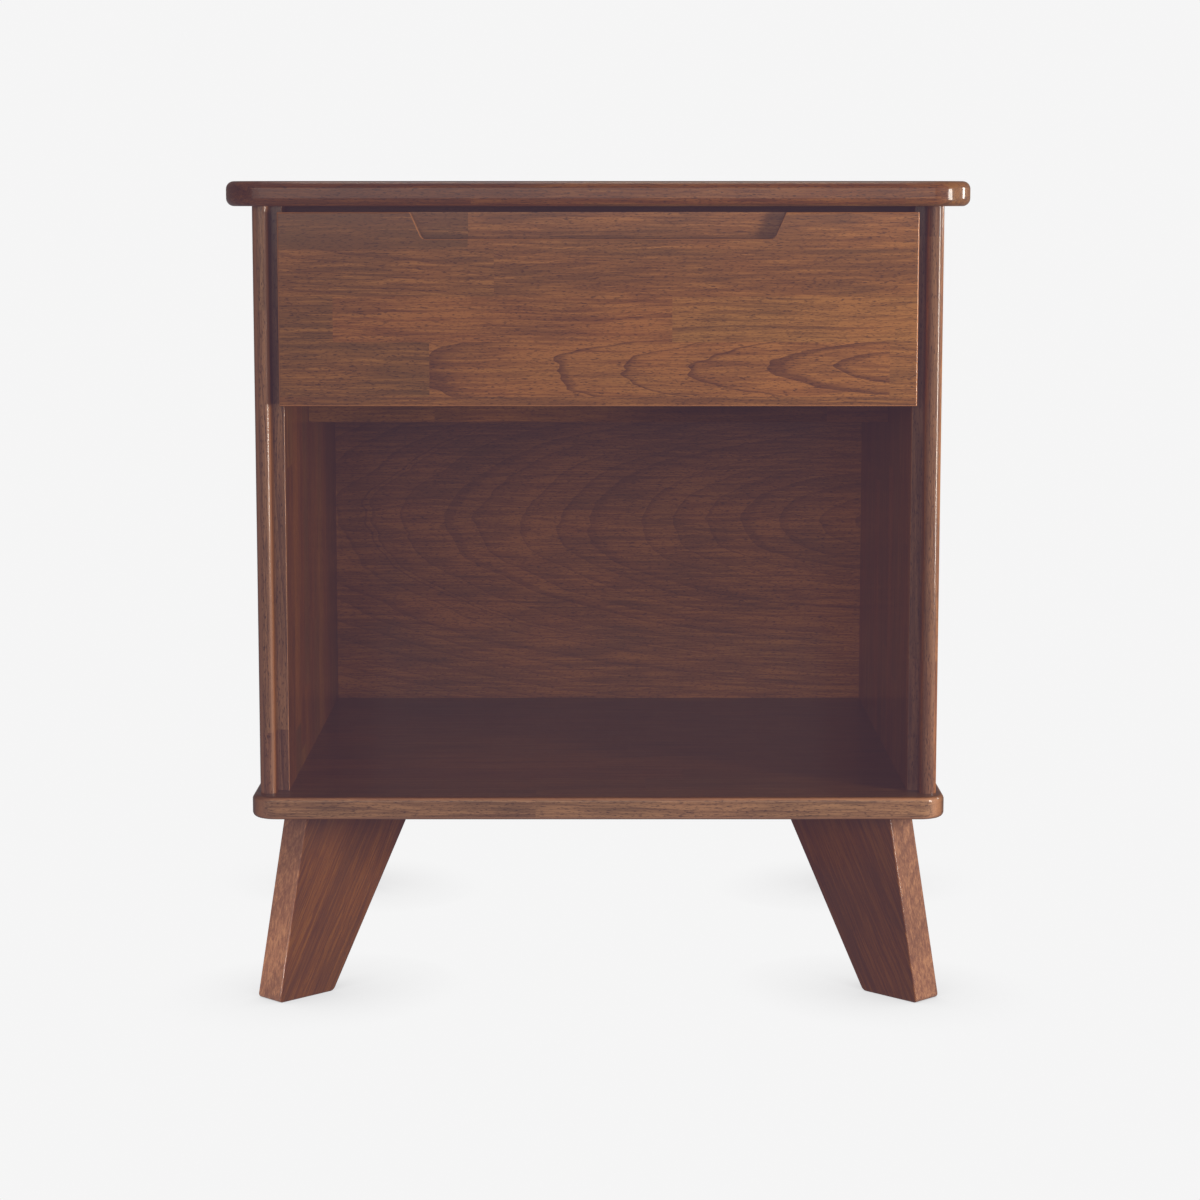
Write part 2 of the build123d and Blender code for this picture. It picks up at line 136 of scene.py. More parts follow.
def wood_figure():
    """Group: place on the board and cut in; tone, ring line, pores and a broad cloud out."""
    group, taken, given = new_group(
        "wood_figure",
        {"Place": "Vector", "Cut": "Vector", "Seed": "Float", "Ring spacing": "Float"},
        {"Tone": "Float", "Ring line": "Float", "Pores": "Float", "Cloud": "Float"},
    )
    grain, cut, seed = (taken.outputs[name] for name in ("Place", "Cut", "Seed"))
    place = add(group, "ShaderNodeSeparateXYZ", {0: grain})
    middle = add(group, "ShaderNodeSeparateXYZ", {0: cut})
    across = add(group, "ShaderNodeMath", {0: place.outputs[1], 1: middle.outputs[0]},
                 operation="SUBTRACT")
    depth = add(group, "ShaderNodeMath",
                {0: place.outputs[0], 1: middle.outputs[2], 2: middle.outputs[1]},
                operation="MULTIPLY_ADD")
    depth = add(group, "ShaderNodeMath", {0: depth, 1: place.outputs[2]}, operation="ADD")
    in_log = add(group, "ShaderNodeCombineXYZ", {1: across, 2: depth})
    sample = add(group, "ShaderNodeVectorMath", {0: seed, 1: away_from_twin, 2: grain},
                 operation="MULTIPLY_ADD")
    for lengths, reach in ((warp_lengths, warp_reach), (ripple_lengths, ripple_reach)):
        spread = add(group, "ShaderNodeVectorMath", {0: sample, 1: per(lengths)}, operation="MULTIPLY")
        drift = add(group, "ShaderNodeTexNoise", {"Vector": spread, "Scale": 1.0, "Detail": 1.0})
        centred = add(group, "ShaderNodeVectorMath", {0: drift.outputs["Color"], 1: noise_middle},
                      operation="SUBTRACT")
        in_log, sample = (
            add(group, "ShaderNodeVectorMath", {0: centred, 1: reach, 2: pushed},
                operation="MULTIPLY_ADD")
            for pushed in (in_log, sample)
        )
    radius = add(group, "ShaderNodeVectorMath", {0: in_log}, operation="LENGTH").outputs["Value"]
    years = add(group, "ShaderNodeMath", {0: radius, 1: taken.outputs["Ring spacing"]},
                operation="DIVIDE")
    bands = add(group, "ShaderNodeTexNoise",
                {"W": years, "Scale": band_scale, "Detail": 4.0, "Roughness": 0.6},
                noise_dimensions="1D")
    uneven = add(group, "ShaderNodeMath", {0: bands, 1: uneven_years, 2: years},
                 operation="MULTIPLY_ADD")
    season = add(group, "ShaderNodeMath", {0: uneven}, operation="FRACT")
    tone = add(group, "ShaderNodeMath", {0: season, 1: autumn_fall, 2: mean_tone},
               operation="MULTIPLY_ADD")
    patterns = [(bands, band_share)]
    for lengths, detail, share in tone_patterns:
        spread = add(group, "ShaderNodeVectorMath", {0: sample, 1: per(lengths)}, operation="MULTIPLY")
        noise = add(group, "ShaderNodeTexNoise", {"Vector": spread, "Scale": 1.0, "Detail": detail})
        patterns.append((noise, share))
    for pattern, share in patterns:
        centred = add(group, "ShaderNodeMath", {0: pattern, 1: 0.5}, operation="SUBTRACT")
        tone = add(group, "ShaderNodeMath", {0: centred, 1: share, 2: tone}, operation="MULTIPLY_ADD")
    line_from, line_to = ring_line_limits
    ring_line = add(group, "ShaderNodeMapRange", {0: season, 1: line_from, 2: line_to},
                    interpolation_type="SMOOTHSTEP")
    spread = add(group, "ShaderNodeVectorMath", {0: sample, 1: per(pore_lengths)}, operation="MULTIPLY")
    vessels = add(group, "ShaderNodeTexNoise", {"Vector": spread, "Scale": 1.0, "Detail": 1.0})
    pore_from, pore_to = pore_limits
    pores = add(group, "ShaderNodeMapRange", {0: vessels, 1: pore_from, 2: pore_to},
                interpolation_type="SMOOTHSTEP")
    results = {"Tone": tone, "Ring line": ring_line, "Pores": pores, "Cloud": noise}
    for socket, source in results.items():
        group.links.new(source.outputs[0], given.inputs[socket])
    return group


figure = wood_figure()
print("wood figure", len(figure.nodes), "nodes")

# %% [markdown]
# ## Staves
# Wide boards of this wood are rare, so the maker glues narrow staves edge to edge and end to end.
# Each stave comes from another part of another log, so its tone, its warmth and the arches in it
# change at a joint, along a line as sharp as a pencil mark. For most boards the staves are laid at
# random: the width is the same and the ends fall anywhere. The drawer front is the show face, so its
# staves are laid out one by one from a cutting list.

# %% Where a point lies: along the grain, across the face and through the board
def grain_space(tree, along, across, middle):
    """The object's own coordinates in mm from the middle of one board, turned to its grain."""
    place = add(tree, "ShaderNodeTexCoord").outputs["Object"]
    place = add(tree, "ShaderNodeVectorMath", {0: place, 1: middle}, operation="SUBTRACT")
    through = Vector(along).cross(Vector(across))
    turned = add(tree, "ShaderNodeCombineXYZ")
    for number, direction in enumerate((along, across, through)):
        measure = add(tree, "ShaderNodeVectorMath", {0: place, 1: Vector(direction) / MM},
                      operation="DOT_PRODUCT")
        tree.links.new(measure.outputs["Value"], turned.inputs[number])
    return turned.outputs[0]


stave_width = 41.0
stave_length = 330.0
cut_least, cut_range = (-75.0, 6.0, -0.07), (150.0, 45.0, 0.14)  # across, depth and lean of a cut


def random_staves():
    """Group: place and board number in; the look and the cut of the stave there out."""
    group, taken, given = new_group("random_staves", {"Place": "Vector", "Board": "Float"},
                                    {"Look": "Vector", "Cut": "Vector"})
    place = add(group, "ShaderNodeSeparateXYZ", {0: taken.outputs["Place"]})
    row = add(group, "ShaderNodeMath", {0: place.outputs["Y"], 1: stave_width}, operation="DIVIDE")
    row = add(group, "ShaderNodeMath", {0: row}, operation="FLOOR")
    number = add(group, "ShaderNodeMath", {0: row, 1: taken.outputs["Board"]}, operation="ADD")
    start = add(group, "ShaderNodeTexWhiteNoise", {"W": number}, noise_dimensions="1D")
    piece = add(group, "ShaderNodeMath", {0: place.outputs["X"], 1: 1 / stave_length, 2: start},
                operation="MULTIPLY_ADD")
    piece = add(group, "ShaderNodeMath", {0: piece}, operation="FLOOR")
    key = add(group, "ShaderNodeCombineXYZ", {0: number, 1: piece, 2: taken.outputs["Board"]})
    look = add(group, "ShaderNodeTexWhiteNoise", {"Vector": key}, noise_dimensions="3D")
    chance = add(group, "ShaderNodeTexWhiteNoise", {"Vector": look.outputs["Color"]},
                 noise_dimensions="3D")
    centre = add(group, "ShaderNodeMath", {0: row, 1: stave_width, 2: stave_width / 2},
                 operation="MULTIPLY_ADD")
    centre = add(group, "ShaderNodeCombineXYZ", {0: centre})
    cut = add(group, "ShaderNodeVectorMath", {0: chance.outputs["Color"], 1: cut_range, 2: cut_least},
              operation="MULTIPLY_ADD")
    cut = add(group, "ShaderNodeVectorMath", {0: cut, 1: centre}, operation="ADD")
    group.links.new(look.outputs["Color"], given.inputs["Look"])
    group.links.new(cut.outputs[0], given.inputs["Cut"])
    return group


any_staves = random_staves()


def laid_at_random(board_number):
    """A layout whose staves follow from the board's own number."""
    def layout(tree, place):
        staves = add(tree, "ShaderNodeGroup", {"Place": place, "Board": board_number},
                     node_tree=any_staves)
        return staves.outputs[0], staves.outputs[1]
    return layout


def one_piece(look, cut):
    """A layout with no joints: one plank, or one sheet of veneer."""
    def layout(tree, place):
        return [add(tree, "ShaderNodeCombineXYZ", dict(enumerate(three))).outputs[0]
                for three in (look, cut)]
    return layout


print("staves", stave_width, "mm wide and about", stave_length, "mm long")

# %% [markdown]
# ## Rounded edges
# A sander and a polishing rag take a little more stain off the corners of a board than off its faces, so
# the rounded edges are paler. The paler edge is also a painted highlight: the line of light on a rounded
# edge is put into its colour, more on some boards than on others. On these boards a face looks straight
# along one axis, and only a rounded edge looks in between. So the largest part of the normal tells edges
# from faces.

# %% How round the board is at a point
still_flat, all_edge = 0.98, 0.80  # the largest part of the normal on a face, and well round an edge


def rounded_edges():
    """Group: 0 on flat faces and 1 on rounded edges of a board that lies square to the axes."""
    group, _, given = new_group("rounded_edges", {}, {"Edge": "Float"})
    normal = add(group, "ShaderNodeTexCoord").outputs["Normal"]
    sizes = add(group, "ShaderNodeVectorMath", {0: normal}, operation="ABSOLUTE")
    parts = add(group, "ShaderNodeSeparateXYZ", {0: sizes})
    most = add(group, "ShaderNodeMath", {0: parts.outputs[0], 1: parts.outputs[1]}, operation="MAXIMUM")
    most = add(group, "ShaderNodeMath", {0: most, 1: parts.outputs[2]}, operation="MAXIMUM")
    edge = add(group, "ShaderNodeMapRange", {0: most, 1: still_flat, 2: all_edge},
               interpolation_type="SMOOTHSTEP")
    group.links.new(edge.outputs[0], given.inputs["Edge"])
    return group


edges = rounded_edges()
print("rounded edges", len(edges.nodes), "nodes")

# %% [markdown]
# ## Stain and satin lacquer
# The stain is a thin red-brown dye. Open pores soak up more of it, so they go darkest, and so do the
# dense ends of the rings. Over it lies a sprayed satin lacquer: its colour comes from the wood below
# and only its soft highlight is its own. In Blender that is one principled shader with the wood as
# base colour, a rough base and a smoother coat. Lacquer has an IOR near 1.5.

# %% Finished wood
# The edge colour goes on rounded edges: part wear, part painted highlight.
walnut = {"wood": ((0.22, "#532c15"), (0.5, "#774721"), (0.78, "#9d6632")),
          "cool": "#6e562b", "warm": "#804724",
          "pore": "#26110a", "ring": "#3f1e0f", "edge": "#b5784a"}
stave_contrast = 0.42
tint_share = 0.38  # how much of the cool or warm colour goes into the wood
cloud_tint, neutral_tint = 0.8, 0.4
ring_strength = 0.65
sawn_from, sawn_to = 0.4, 0.9  # how squarely a face must look along the sawn direction
planed_saturation, sawn_saturation = 1.06, 0.84
pale_roughness, dark_roughness = 0.40, 0.54  # dark streaks are left a little rougher
pore_bump, pore_bump_depth = 0.3, 0.0003
lacquer_ior, base_shine, coat_weight, coat_roughness = 1.5, 0.12, 0.42, 0.12


def finished_wood(board, kind, along, across, layout, palette=walnut, tone_and_painted_light=1.0, warmth=0.0,
                  pores=0.7, ring_spacing=8.0, wear_and_highlight=0.0, sawn_edge_and_painted_light=None, lacquer=1.0):
    """Finish one board. layout(tree, place) gives the look and the cut of the stave at a point."""
    low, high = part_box(board)
    material = bpy.data.materials.new(kind + "_" + board)
    material.use_nodes = True
    tree = material.node_tree
    shader = tree.nodes["Principled BSDF"]
    place = grain_space(tree, along, across, (low + high) / 2)
    look, cut = layout(tree, place)
    parts = add(tree, "ShaderNodeSeparateXYZ", {0: look})
    grown = add(tree, "ShaderNodeGroup", {"Place": place, "Cut": cut, "Seed": parts.outputs[0],
                                          "Ring spacing": ring_spacing}, node_tree=figure)
    lift = add(tree, "ShaderNodeMath", {0: parts.outputs[0], 1: 0.5}, operation="SUBTRACT")
    tone = add(tree, "ShaderNodeMath", {0: lift, 1: stave_contrast, 2: grown.outputs["Tone"]},
               operation="MULTIPLY_ADD")
    colour = add(tree, "ShaderNodeValToRGB", {0: tone}, stops=palette["wood"]).outputs[0]
    drift = add(tree, "ShaderNodeMath", {0: grown.outputs["Cloud"], 1: cloud_tint, 2: parts.outputs[1]},
                operation="MULTIPLY_ADD")
    side = add(tree, "ShaderNodeMath", {0: drift, 1: neutral_tint - warmth}, operation="SUBTRACT",
               use_clamp=True)
    tint = add(tree, "ShaderNodeMix",
               {0: side, 6: linear(palette["cool"]), 7: linear(palette["warm"])},
               data_type="RGBA").outputs[2]
    colour = add(tree, "ShaderNodeMix", {0: tint_share, 6: colour, 7: tint},
                 data_type="RGBA").outputs[2]
    arches = add(tree, "ShaderNodeMath", {0: grown.outputs["Ring line"], 1: parts.outputs[2]},
                 operation="MULTIPLY")
    edge = add(tree, "ShaderNodeGroup", node_tree=edges)
    # Rings and pores darken the stain; the paler edge colour is part wear and part painted highlight.
    for mask, strength, other in ((arches, ring_strength, "ring"),
                                  (grown.outputs["Pores"], pores, "pore"), (edge, wear_and_highlight, "edge")):
        amount = add(tree, "ShaderNodeMath", {0: mask, 1: strength}, operation="MULTIPLY")
        colour = add(tree, "ShaderNodeMix", {0: amount, 6: colour, 7: linear(palette[other])},
                     data_type="RGBA").outputs[2]
    # The brightness here is the board's own tone and also painted light and shade, set board by board.
    stained = add(tree, "ShaderNodeHueSaturation", {"Color": colour, "Value": tone_and_painted_light})
    # Faces that look along one direction get their own brightness: partly a paler stain on sawn edges,
    # and partly painted light and shade on the front edges of the shelf and the sides and on the legs.
    if sawn_edge_and_painted_light:
        direction, paler = sawn_edge_and_painted_light
        normal = add(tree, "ShaderNodeTexCoord").outputs["Normal"]
        facing = add(tree, "ShaderNodeVectorMath", {0: normal, 1: direction}, operation="DOT_PRODUCT")
        facing = add(tree, "ShaderNodeMath", {0: facing.outputs["Value"]}, operation="ABSOLUTE")
        for socket, planed, sawn in (("Value", tone_and_painted_light, paler),
                                     ("Saturation", planed_saturation, sawn_saturation)):
            change = add(tree, "ShaderNodeMapRange",
                         {0: facing, 1: sawn_from, 2: sawn_to, 3: planed, 4: sawn})
            tree.links.new(change.outputs[0], stained.inputs[socket])
    tree.links.new(stained.outputs[0], shader.inputs["Base Color"])
    rough = add(tree, "ShaderNodeMapRange",
                {0: grown.outputs["Tone"], 3: dark_roughness, 4: pale_roughness})
    tree.links.new(rough.outputs[0], shader.inputs["Roughness"])
    dents = add(tree, "ShaderNodeMath", {0: grown.outputs["Pores"], 1: -1.0, 2: grown.outputs["Tone"]},
                operation="MULTIPLY_ADD")
    bump = add(tree, "ShaderNodeBump",
               {"Height": dents, "Strength": pore_bump, "Distance": pore_bump_depth})
    tree.links.new(bump.outputs[0], shader.inputs["Normal"])
    shader.inputs["IOR"].default_value = lacquer_ior
    shader.inputs["Specular IOR Level"].default_value = base_shine * lacquer
    shader.inputs["Coat Weight"].default_value = coat_weight * lacquer
    shader.inputs["Coat Roughness"].default_value = coat_roughness
    boards[board].data.materials.clear()
    boards[board].data.materials.append(material)
    return material


print("walnut colours", sorted(walnut))

# %% [markdown]
# ## The drawer front
# Five rows of staves, cut so that the finger pull runs through the first. One stave has the arches
# of a flat-sawn board, which is the first thing that the eye finds. Each line of the list gives a
# stave: its lower edge and left end in millimetres from the middle of the board; its tone, its
# warmth and how clear its rings are, from 0 to 1; and its cut from the log.

# %% The cutting list of the drawer front
far = -1000  # beyond the left end and the lower edge of any board
drawer_front_staves = [
    (far, far, (0.40, 0.40, 0.2), (-130, 30, 0.02)),
    (-67, far, (0.36, 0.20, 0.2), (-150, 15, 0.03)),
    (-67, -130, (0.82, 0.60, 1.0), (-45, 34, -0.09)),
    (-67, 224.5, (0.64, 0.35, 0.2), (60, 20, 0.02)),
    (-25, far, (0.45, 0.25, 0.3), (-90, 12, 0.00)),
    (-25, -204, (0.70, 0.70, 0.4), (70, 25, 0.05)),
    (-25, 57, (0.90, 0.25, 0.3), (-110, 30, -0.03)),
    (10, far, (0.48, 0.35, 0.6), (75, 18, -0.10)),
    (10, -80, (0.24, 0.38, 0.1), (100, 60, 0.15)),
    (46, far, (-0.20, 0.25, 0.1), (190, 40, 0.05)),
    (46, -100, (0.46, 0.50, 0.3), (140, 22, -0.04)),
]


def drawer_front_layout(tree, place):
    """The look and the cut at each point of the drawer front, later staves over earlier ones."""
    here = add(tree, "ShaderNodeSeparateXYZ", {0: place})
    _, _, *first = drawer_front_staves[0]
    chosen = [add(tree, "ShaderNodeCombineXYZ", dict(enumerate(three))).outputs[0] for three in first]
    for lower_edge, left_end, *stave in drawer_front_staves[1:]:
        past = [add(tree, "ShaderNodeMath", {0: here.outputs[axis], 1: limit}, operation="GREATER_THAN")
                for axis, limit in (("Y", lower_edge), ("X", left_end))]
        inside = add(tree, "ShaderNodeMath", dict(enumerate(past)), operation="MULTIPLY")
        chosen = [add(tree, "ShaderNodeMix", {0: inside, 4: old, 5: new}, data_type="VECTOR").outputs[1]
                  for old, new in zip(chosen, stave)]
    return chosen


left_to_right, front_to_back, up = (1, 0, 0), (0, 1, 0), (0, 0, 1)
# Its paler rounded edges are part wear and part painted highlight.
finished_wood("drawer_front", "walnut", left_to_right, up, drawer_front_layout,
              ring_spacing=6.0, wear_and_highlight=0.9)
print("drawer front", len(drawer_front_staves), "staves")

# %% [markdown]
# ## The boards of the case
# Every board gets its own number, so that no two show the same staves. The grain runs along the width in
# the top, the shelf and the rails, and upright in the sides. The boards also differ in brightness, and
# most of that is painted light and shade: the right side is lighter than the left, where the key light
# falls; the shelf's top and the rails are darker, as painted shade under the drawer; and the front edges
# of the shelf and the sides get their own brightness, a painted highlight or shade. The top is a little
# darker than the drawer front.

# %% Top, shelf, sides and rails
finished_wood("top_board", "walnut", left_to_right, front_to_back, laid_at_random(3),
              tone_and_painted_light=0.68)
# The shelf's dark top is painted shade, and its paler front edge is painted light.
finished_wood("bottom_shelf", "walnut", left_to_right, front_to_back, laid_at_random(7),
              tone_and_painted_light=0.44, wear_and_highlight=0.5, sawn_edge_and_painted_light=(front_to_back, 1.12))
# The right side is lighter than the left, where the key light falls, and each front edge has its own
# brightness: painted light and shade.
finished_wood("side_panel_left", "walnut", up, front_to_back, laid_at_random(11),
              tone_and_painted_light=0.66, wear_and_highlight=0.7, sawn_edge_and_painted_light=(front_to_back, 0.86))
finished_wood("side_panel_right", "walnut", up, front_to_back, laid_at_random(17),
              tone_and_painted_light=1.1, wear_and_highlight=0.1, sawn_edge_and_painted_light=(front_to_back, 0.7), lacquer=0.85)
# The rails are darker, the front top rail darkest: painted shade under the top and the drawer and behind
# its gaps.
for number, rail in enumerate(("top_rail_front", "top_rail_rear", "under_drawer_rail")):
    finished_wood(rail, "walnut", left_to_right, up, laid_at_random(23 + number),
                  tone_and_painted_light=0.35 + 0.2 * number, lacquer=0.2)
print("case boards finished")

# %% [markdown]
# ## The legs
# Each leg is sawn from a thick plank with the grain down its length, and it leans out along a diagonal
# of the table. So the grain follows the slant of the leg itself. The narrow sawn edges are paler than
# the planed faces: partly they have taken less of the red stain, and partly it is painted light where
# the side lights fall on them. The left legs get darker faces and paler edges than the right ones, which
# is painted light and shade.

# %% Grain that follows each leg
def leg_axes(name):
    """Unit vectors along and across one leg, and level along its diagonal."""
    low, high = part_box(name)
    side, face = math.copysign(1, low.x + high.x), math.copysign(1, low.y + high.y)
    inward = Vector((-side, -face, 0)).normalized()
    reach = (high.x - low.x) * math.sqrt(2)
    lean = 0.5 * reach / (high.z - low.z)
    along = (Vector(up) + inward * lean).normalized()
    across = (inward - along * inward.dot(along)).normalized()
    return along, across, inward


leg_names = sorted(name for name in boards if name.startswith("leg_") and name != "leg_tenons")
for number, name in enumerate(leg_names):
    along, across, inward = leg_axes(name)
    plank = one_piece((0.42 + 0.03 * number, 0.7, 0.15), (18 + 9 * number, 26, 0.03))
    # Face and edge brightness, different left and right: partly the stain, partly painted light and
    # shade.
    face, edge = (0.66, 1.35) if "left" in name else (0.84, 1.12)
    finished_wood(name, "walnut", along, across, plank, tone_and_painted_light=face, warmth=0.15, pores=0.3,
                  sawn_edge_and_painted_light=(inward, edge))
print("legs", leg_names)

# %% [markdown]
# ## The veneered back
# The back is a thin sheet faced with flat-cut walnut veneer laid sideways. One slice covers the whole
# width, so its arches are as wide as the shelf is high, and there are no stave joints.

# %% Flat-cut veneer
veneer = one_piece((0.58, 0.45, 0.5), (-62, 78, -0.26))
# The back is lightened: painted light inside the open shelf.
finished_wood("back_panel", "veneer", left_to_right, up, veneer, ring_spacing=9.0, tone_and_painted_light=1.75)

# %% [markdown]
# ## Inside the drawer
# The box inside is not stained: pale birch sides under clear lacquer, a birch plywood bottom, and
# beech for the dowels and the loose tenons. The same figure serves, with paler colours, finer rings
# and fainter pores. The edge of plywood shows its plies as stripes, because every second ply is
# seen end on and soaks up more lacquer.

# %% Birch, beech and plywood
birch = {"wood": ((0.22, "#b48d5e"), (0.5, "#cdab7c"), (0.78, "#dfc398")),
         "cool": "#cdb48a", "warm": "#d3a26c",
         "pore": "#9a7248", "ring": "#ab8250", "edge": "#e2c9a2"}
beech = {"wood": ((0.22, "#a9764d"), (0.5, "#c3936a"), (0.78, "#d6ad85")),
         "cool": "#c2a079", "warm": "#cb8f63",
         "pore": "#7e5132", "ring": "#9b6a43", "edge": "#dcb892"}
box_walls = ("drawer_side_left", "drawer_side_right", "drawer_box_front", "drawer_back")
# The paler rounded edges of the box walls are part wear and part painted highlight.
for number, name in enumerate(box_walls):
    along = front_to_back if "side" in name else left_to_right
    plank = one_piece((0.4 + 0.07 * number, 0.3 + 0.1 * number, 0.5), (20 - 25 * number, 35, 0.04))
    finished_wood(name, "birch", along, up, plank, palette=birch, pores=0.25, ring_spacing=5.0, wear_and_highlight=0.4)
for name in ("leg_tenons", "rail_dowels"):
    plank = one_piece((0.5, 0.5, 0.4), (30, 12, 0.02))
    finished_wood(name, "beech", left_to_right, up, plank, palette=beech, pores=0.5, ring_spacing=3.0)
bottom = one_piece((0.55, 0.4, 0.4), (-40, 60, 0.12))
plywood = finished_wood("drawer_bottom", "plywood", left_to_right, front_to_back, bottom, palette=birch,
                        pores=0.3, ring_spacing=9.0)
ply = 1.5  # the thickness of one ply in mm
long_ply, end_ply = "#d8ba8b", "#93683e"


def stripe_edges(material, thickness_axis):
    """Draw plies over the edges of a sheet that lies flat along the given axis number."""
    tree = material.node_tree
    shader = tree.nodes["Principled BSDF"]
    faces = shader.inputs["Base Color"].links[0].from_socket
    coordinates = add(tree, "ShaderNodeTexCoord")
    height = add(tree, "ShaderNodeSeparateXYZ", {0: coordinates.outputs["Object"]})
    height = height.outputs[thickness_axis]
    count = add(tree, "ShaderNodeMath", {0: height, 1: ply * MM}, operation="DIVIDE")
    stripe = add(tree, "ShaderNodeMath", {0: count, 1: 2.0}, operation="FLOORED_MODULO")
    stripe = add(tree, "ShaderNodeMapRange", {0: stripe, 1: 0.95, 2: 1.05})
    plies = add(tree, "ShaderNodeMix", {0: stripe, 6: linear(long_ply), 7: linear(end_ply)},
                data_type="RGBA")
    normal = add(tree, "ShaderNodeSeparateXYZ", {0: coordinates.outputs["Normal"]})
    normal = add(tree, "ShaderNodeMath", {0: normal.outputs[thickness_axis]}, operation="ABSOLUTE")
    on_face = add(tree, "ShaderNodeMath", {0: normal, 1: 0.5}, operation="GREATER_THAN")
    both = add(tree, "ShaderNodeMix", {0: on_face, 6: plies.outputs[2], 7: faces}, data_type="RGBA")
    tree.links.new(both.outputs[2], shader.inputs["Base Color"])


stripe_edges(plywood, 2)
print("drawer box finished")

# %% [markdown]
# ## Zinc-plated steel
# The slides are rolled from steel strip and the screws are turned and headed from wire, and both are
# zinc plated: a cool grey metal with a faint blue and yellow cast from the chromate bath. Rolling leaves
# fine lines along the strip. They are a few hundredths of a millimetre apart, which would never show, so
# they are drawn about half a millimetre apart. Threads and turning marks go round a screw; on a screw
# the marks are drawn the same in every direction, as a fine grain about 0.6 mm across.

# %% Steel
zinc_colours = ((0.25, "#9aa0a6"), (0.5, "#b3b7ba"), (0.78, "#c9c9c2"))
line_share = 0.35  # how much the rolled lines show beside the broad clouds of the bath
roughness_swing = 0.12


def plated_steel(name, line_spacing, roughness, bump_depth):
    """Zinc plate with fine lines; line_spacing is in mm along x, y and z."""
    material = bpy.data.materials.new(name)
    material.use_nodes = True
    tree = material.node_tree
    shader = tree.nodes["Principled BSDF"]
    place = add(tree, "ShaderNodeTexCoord").outputs["Object"]
    place = add(tree, "ShaderNodeVectorMath", {0: place, "Scale": 1 / MM}, operation="SCALE")
    drawn = add(tree, "ShaderNodeVectorMath", {0: place, 1: per(line_spacing)}, operation="MULTIPLY")
    lines = add(tree, "ShaderNodeTexNoise", {"Vector": drawn, "Scale": 1.0, "Detail": 2.0})
    bath = add(tree, "ShaderNodeTexNoise", {"Vector": place, "Scale": 0.04, "Detail": 3.0})
    both = add(tree, "ShaderNodeMath", {0: lines, 1: line_share, 2: bath}, operation="MULTIPLY_ADD")
    both = add(tree, "ShaderNodeMath", {0: both, 1: line_share / 2}, operation="SUBTRACT")
    colour = add(tree, "ShaderNodeValToRGB", {0: both}, stops=zinc_colours)
    tree.links.new(colour.outputs[0], shader.inputs["Base Color"])
    rough = add(tree, "ShaderNodeMapRange",
                {0: both, 3: roughness - roughness_swing, 4: roughness + roughness_swing})
    tree.links.new(rough.outputs[0], shader.inputs["Roughness"])
    bump = add(tree, "ShaderNodeBump", {"Height": lines, "Strength": 0.4, "Distance": bump_depth * MM})
    tree.links.new(bump.outputs[0], shader.inputs["Normal"])
    shader.inputs["Metallic"].default_value = 1.0
    return material


def finish(names, material):
    """Give one material to each of these pieces."""
    for name in names:
        boards[name].data.materials.clear()
        boards[name].data.materials.append(material)


finish([name for name in boards if name.startswith("slide_") and "_member_" in name],
       plated_steel("zinc_plated_rolled_steel", (0.5, 60.0, 0.5), 0.34, 0.05))
finish([name for name in boards if name.endswith("_screws")],
       plated_steel("zinc_plated_screw_steel", (0.6, 0.6, 0.6), 0.30, 0.08))
print("steel pieces", sum(name.startswith("slide_") or name.endswith("_screws") for name in boards))

# %% [markdown]
# ## Nylon
# The balls of a slide run in moulded strips of white nylon. It is a waxy, slightly see-through
# plastic, so light goes a little way into it. The mould was spark eroded, which leaves a fine
# pebbled surface. Its pits are about 0.05 mm wide and are drawn 0.3 mm wide.

# %% Moulded nylon
pebble = 0.3
nylon = bpy.data.materials.new("moulded_nylon")
nylon.use_nodes = True
tree = nylon.node_tree
shader = tree.nodes["Principled BSDF"]
place = add(tree, "ShaderNodeTexCoord").outputs["Object"]
pits = add(tree, "ShaderNodeTexNoise", {"Vector": place, "Scale": 1 / (pebble * MM), "Detail": 1.0})
flow = add(tree, "ShaderNodeTexNoise", {"Vector": place, "Scale": 60.0, "Detail": 2.0})
milk = add(tree, "ShaderNodeValToRGB", {0: flow}, stops=((0.3, "#dcdace"), (0.7, "#f0eee6")))
tree.links.new(milk.outputs[0], shader.inputs["Base Color"])
bump = add(tree, "ShaderNodeBump", {"Height": pits, "Strength": 0.3, "Distance": 0.00005})
tree.links.new(bump.outputs[0], shader.inputs["Normal"])
rough = add(tree, "ShaderNodeMapRange", {0: pits, 3: 0.38, 4: 0.52})
tree.links.new(rough.outputs[0], shader.inputs["Roughness"])
shader.inputs["IOR"].default_value = 1.53
shader.inputs["Subsurface Weight"].default_value = 0.2
shader.inputs["Subsurface Radius"].default_value = (0.8 * MM, 0.7 * MM, 0.6 * MM)
shader.inputs["Subsurface Scale"].default_value = 1.0
finish([name for name in boards if name.startswith("slide_bearings")], nylon)
print("unfinished pieces", [name for name, piece in boards.items() if not piece.data.materials])

# %% [markdown]
# ## Camera
# The table is seen straight from the front, from just under its top, as on a shop page. A long lens
# from a few steps back keeps the sides upright and still lets the eye look into the open shelf.

# %% A long lens just under the top
camera_data = bpy.data.cameras.new("camera")
camera = bpy.data.objects.new("camera", camera_data)
bpy.context.scene.collection.objects.link(camera)
bpy.context.scene.camera = camera
camera_data.sensor_width = 36
camera_data.lens = 90
camera_data.clip_end = 60
camera_tilt = 82.41  # degrees up from looking straight down
camera.location = (0.0014, -2.546, 0.6305)
camera.rotation_euler = (math.radians(camera_tilt), 0, 0)
print("camera", [round(value, 3) for value in camera.location])

